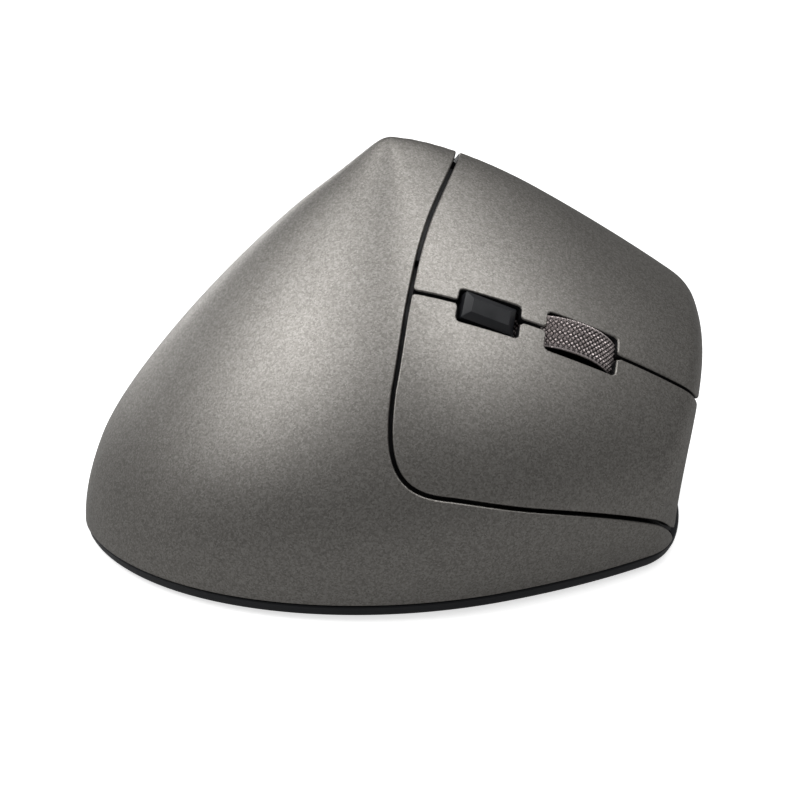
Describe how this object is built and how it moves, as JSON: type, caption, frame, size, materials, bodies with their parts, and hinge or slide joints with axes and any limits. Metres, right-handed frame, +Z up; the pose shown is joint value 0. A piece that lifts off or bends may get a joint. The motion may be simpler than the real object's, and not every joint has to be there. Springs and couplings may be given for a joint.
{
  "type": "computer mouse",
  "caption": "Tall upright wireless mouse for the right hand: domed palm shell, finger buttons, knurled wheel, thumb panel and flat glide base.",
  "frame": {"origin": "on the desk plane, under the middle of the bounding box", "axes": "+X to the finger side, +Y to the nose, +Z up; the feet rest on z = 0"},
  "size_m": [0.0798, 0.1144, 0.07],
  "materials": {
    "grey_paint": "warm grey metallic paint with a fine sparkle, satin clear coat",
    "black_plastic": "fine moulded black",
    "gloss_black": "smooth semi-gloss black",
    "grip": "soft-touch dark grey grip",
    "wheel_metal": "knurled, pale warm silver",
    "white_plastic": "natural white acetal",
    "circuit": "green solder mask",
    "steel": "zinc plated",
    "brass": "bright",
    "clear": "clear moulded lens",
    "battery_sleeve": "plain printed sleeve, no text",
    "ribbon": "amber film",
    "foot_slip": "slippery black glide film"
  },
  "bodies": {
    "body": {"palm_shell": "grey_paint", "thumb_panel": "grip", "nose_core": "black_plastic", "base_plate": "black_plastic", "front_foot": "foot_slip", "rear_foot": "foot_slip", "thumb_foot": "foot_slip", "finger_foot": "foot_slip", "rear_finger_screw": "steel", "rear_thumb_screw": "steel", "front_thumb_screw": "steel", "front_finger_screw": "steel", "left_switch": "black_plastic", "right_switch": "black_plastic", "dpi_switch": "black_plastic", "wheel_switch": "black_plastic", "wheel_encoder": "black_plastic", "carrier_spring": "steel", "button_board": "circuit", "forward_switch": "black_plastic", "back_switch": "black_plastic", "side_board": "circuit", "main_board": "circuit", "controller_chip": "black_plastic", "radio_chip": "black_plastic", "sensor_chip": "black_plastic", "sensor_lens": "clear", "ribbon_cable": "ribbon", "battery": "battery_sleeve", "battery_spring": "steel", "battery_contact": "brass", "power_switch": "black_plastic"},
    "left_button": {"left_button": "grey_paint"},
    "right_button": {"right_button": "grey_paint"},
    "left_plunger": {"left_plunger": "white_plastic"},
    "right_plunger": {"right_plunger": "white_plastic"},
    "dpi_button": {"dpi_button": "gloss_black"},
    "wheel_carrier": {"wheel_carrier": "white_plastic"},
    "scroll_wheel": {"scroll_wheel": "wheel_metal", "wheel_hub": "black_plastic"},
    "forward_side_button": {"forward_side_button": "gloss_black"},
    "back_side_button": {"back_side_button": "gloss_black"},
    "power_knob": {"power_knob": "gloss_black"},
    "battery_door": {"battery_door": "black_plastic"},
    "receiver": {"receiver_cap": "black_plastic", "receiver_plug": "steel"}
  },
  "joints": [
    {"name": "left_click", "type": "hinge", "parent": "body", "child": "left_button", "pos_m": [0.0005, 0.00273, 0.05871], "axis": [-0.5947, 0.4376, 0.6744], "range_deg": [0, 0.7], "stiffness_Nm_per_rad": 6},
    {"name": "right_click", "type": "hinge", "parent": "body", "child": "right_button", "pos_m": [0.0215, -0.01028, 0.04015], "axis": [-0.5947, 0.4376, 0.6744], "range_deg": [0, 0.7], "stiffness_Nm_per_rad": 6},
    {"name": "left_plunger_travel", "type": "slide", "parent": "body", "child": "left_plunger", "axis": [-0.782, -0.1203, -0.6116], "range_m": [0, 0.0005]},
    {"name": "right_plunger_travel", "type": "slide", "parent": "body", "child": "right_plunger", "axis": [-0.782, -0.1203, -0.6116], "range_m": [0, 0.0005]},
    {"name": "dpi_press", "type": "slide", "parent": "body", "child": "dpi_button", "axis": [-0.782, -0.1203, -0.6116], "range_m": [0, 0.0006], "stiffness_N_per_m": 800},
    {"name": "wheel_press", "type": "slide", "parent": "body", "child": "wheel_carrier", "axis": [-0.782, -0.1203, -0.6116], "range_m": [0, 0.0006], "stiffness_N_per_m": 1500},
    {"name": "wheel_spin", "type": "hinge", "parent": "wheel_carrier", "child": "scroll_wheel", "pos_m": [0.01594, 0.02116, 0.03575], "axis": [-0.5947, 0.4376, 0.6744], "continuous": true},
    {"name": "forward_press", "type": "slide", "parent": "body", "child": "forward_side_button", "axis": [0.9806, -0.1961, 0], "range_m": [0, 0.0006], "stiffness_N_per_m": 800},
    {"name": "back_press", "type": "slide", "parent": "body", "child": "back_side_button", "axis": [0.9806, -0.1961, 0], "range_m": [0, 0.0006], "stiffness_N_per_m": 800},
    {"name": "power_slide", "type": "slide", "parent": "body", "child": "power_knob", "axis": [0, 1, 0], "range_m": [0, 0.0025]},
    {"name": "battery_door_hinge", "type": "hinge", "parent": "body", "child": "battery_door", "pos_m": [0.0102, -0.0346, 0.0006], "axis": [-1, 0, 0], "range_deg": [0, 75]},
    {"name": "receiver_slide", "type": "slide", "parent": "body", "child": "receiver", "axis": [0, 0, -1], "range_m": [0, 0.013]}
  ],
  "couplings": [
    {"joint": "left_plunger_travel", "follows": "left_click", "m_per_rad": 0.039},
    {"joint": "right_plunger_travel", "follows": "right_click", "m_per_rad": 0.039}
  ]
}
